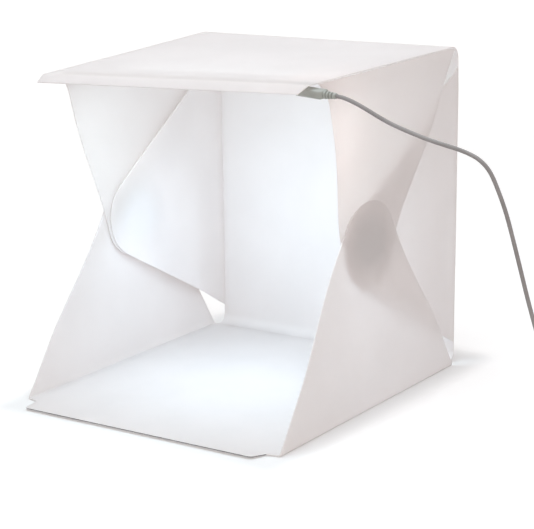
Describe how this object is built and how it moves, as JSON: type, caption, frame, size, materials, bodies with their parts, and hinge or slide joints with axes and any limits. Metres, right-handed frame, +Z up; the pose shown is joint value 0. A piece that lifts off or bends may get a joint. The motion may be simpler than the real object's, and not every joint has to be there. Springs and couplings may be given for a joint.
{
  "type": "light tent cube",
  "caption": "Folding white sheet light tent, open at the front, with overlapping side flaps, a lamp strip under the top and a coiled lead with a plug.",
  "frame": {"origin": "on the floor, under the middle of the tent's own bounding box, the lead and its plugs left out", "axes": "+Z up, +X to the right as seen from the open front, +Y from the open front to the back panel"},
  "size_m": [0.4818, 0.2482, 0.239],
  "materials": {
    "white_sheet": "satin",
    "hook_pad": "matte",
    "loop_pad": "matte",
    "tape": "matte",
    "circuit_board": "satin",
    "lamp": "gloss",
    "resistor": "matte",
    "plated_steel": "satin",
    "plug_grey": "satin",
    "cord_grey": "satin",
    "tie_black": "matte",
    "insert_black": "matte"
  },
  "bodies": {
    "base": {"base_panel": "white_sheet", "cord_lead": "cord_grey", "cord_coil": "cord_grey", "cord_tie": "tie_black", "far_plug_relief": "plug_grey", "far_plug_body": "plug_grey", "far_plug_shell": "plated_steel", "far_plug_insert": "insert_black"},
    "back": {"back_panel": "white_sheet"},
    "top": {"top_panel": "white_sheet", "front_lip": "white_sheet", "strip_tape": "tape", "lamp_board": "circuit_board", "lamp_01": "lamp", "lamp_02": "lamp", "lamp_03": "lamp", "lamp_04": "lamp", "lamp_05": "lamp", "lamp_06": "lamp", "lamp_07": "lamp", "lamp_08": "lamp", "lamp_09": "lamp", "lamp_10": "lamp", "lamp_11": "lamp", "lamp_12": "lamp", "lamp_13": "lamp", "lamp_14": "lamp", "lamp_15": "lamp", "lamp_16": "lamp", "lamp_17": "lamp", "lamp_18": "lamp", "lamp_19": "lamp", "lamp_20": "lamp", "resistor_01": "resistor", "resistor_02": "resistor", "resistor_03": "resistor", "resistor_04": "resistor", "lamp_socket": "plated_steel", "lamp_plug_nose": "plated_steel", "lamp_plug_body": "plug_grey", "lamp_plug_relief": "plug_grey"},
    "left_lower": {"left_lower_flap": "white_sheet", "left_lower_flap_hook_pad": "hook_pad"},
    "right_lower": {"right_lower_flap": "white_sheet", "right_lower_flap_hook_pad": "hook_pad"},
    "left_upper": {"left_upper_flap": "white_sheet", "left_upper_flap_loop_pad": "loop_pad", "left_upper_flap_hook_pad": "hook_pad"},
    "right_upper": {"right_upper_flap": "white_sheet", "right_upper_flap_loop_pad": "loop_pad", "right_upper_flap_hook_pad": "hook_pad"},
    "left_rear": {"left_rear_flap": "white_sheet", "left_rear_flap_loop_pad": "loop_pad"},
    "right_rear": {"right_rear_flap": "white_sheet", "right_rear_flap_loop_pad": "loop_pad"}
  },
  "joints": [
    {"name": "back_fold", "type": "hinge", "parent": "base", "child": "back", "pos_m": [0, 0.11348, 0.00265], "axis": [-1, 0, 0], "range_deg": [-28, 86]},
    {"name": "top_fold", "type": "hinge", "parent": "back", "child": "top", "pos_m": [0, 0.12136, 0.23624], "axis": [-1, 0, 0], "range_deg": [-25, 90]},
    {"name": "left_lower_fold", "type": "hinge", "parent": "base", "child": "left_lower", "pos_m": [-0.1145, -0.10958, 0.0004], "axis": [0, -1, 0], "range_deg": [0, 90]},
    {"name": "right_lower_fold", "type": "hinge", "parent": "base", "child": "right_lower", "pos_m": [0.1145, -0.10958, 0.0004], "axis": [0, 1, 0], "range_deg": [0, 90]},
    {"name": "left_upper_fold", "type": "hinge", "parent": "top", "child": "left_upper", "pos_m": [-0.1114, 0.11449, 0.23787], "axis": [0, 0.9997, 0.0262], "range_deg": [0, 45]},
    {"name": "right_upper_fold", "type": "hinge", "parent": "top", "child": "right_upper", "pos_m": [0.1114, 0.11449, 0.23787], "axis": [0, -0.9997, -0.0262], "range_deg": [0, 45]},
    {"name": "left_rear_fold", "type": "hinge", "parent": "back", "child": "left_rear", "pos_m": [-0.1071, 0.11546, 0.01514], "axis": [0, 0.0349, 0.9994], "range_deg": [0, 80]},
    {"name": "right_rear_fold", "type": "hinge", "parent": "back", "child": "right_rear", "pos_m": [0.1071, 0.11546, 0.01514], "axis": [0, -0.0349, -0.9994], "range_deg": [0, 88]}
  ],
  "couplings": [
    {"joint": "left_upper_fold", "follows": "left_lower_fold", "ratio": 0.5},
    {"joint": "right_upper_fold", "follows": "right_lower_fold", "ratio": 0.5}
  ]
}
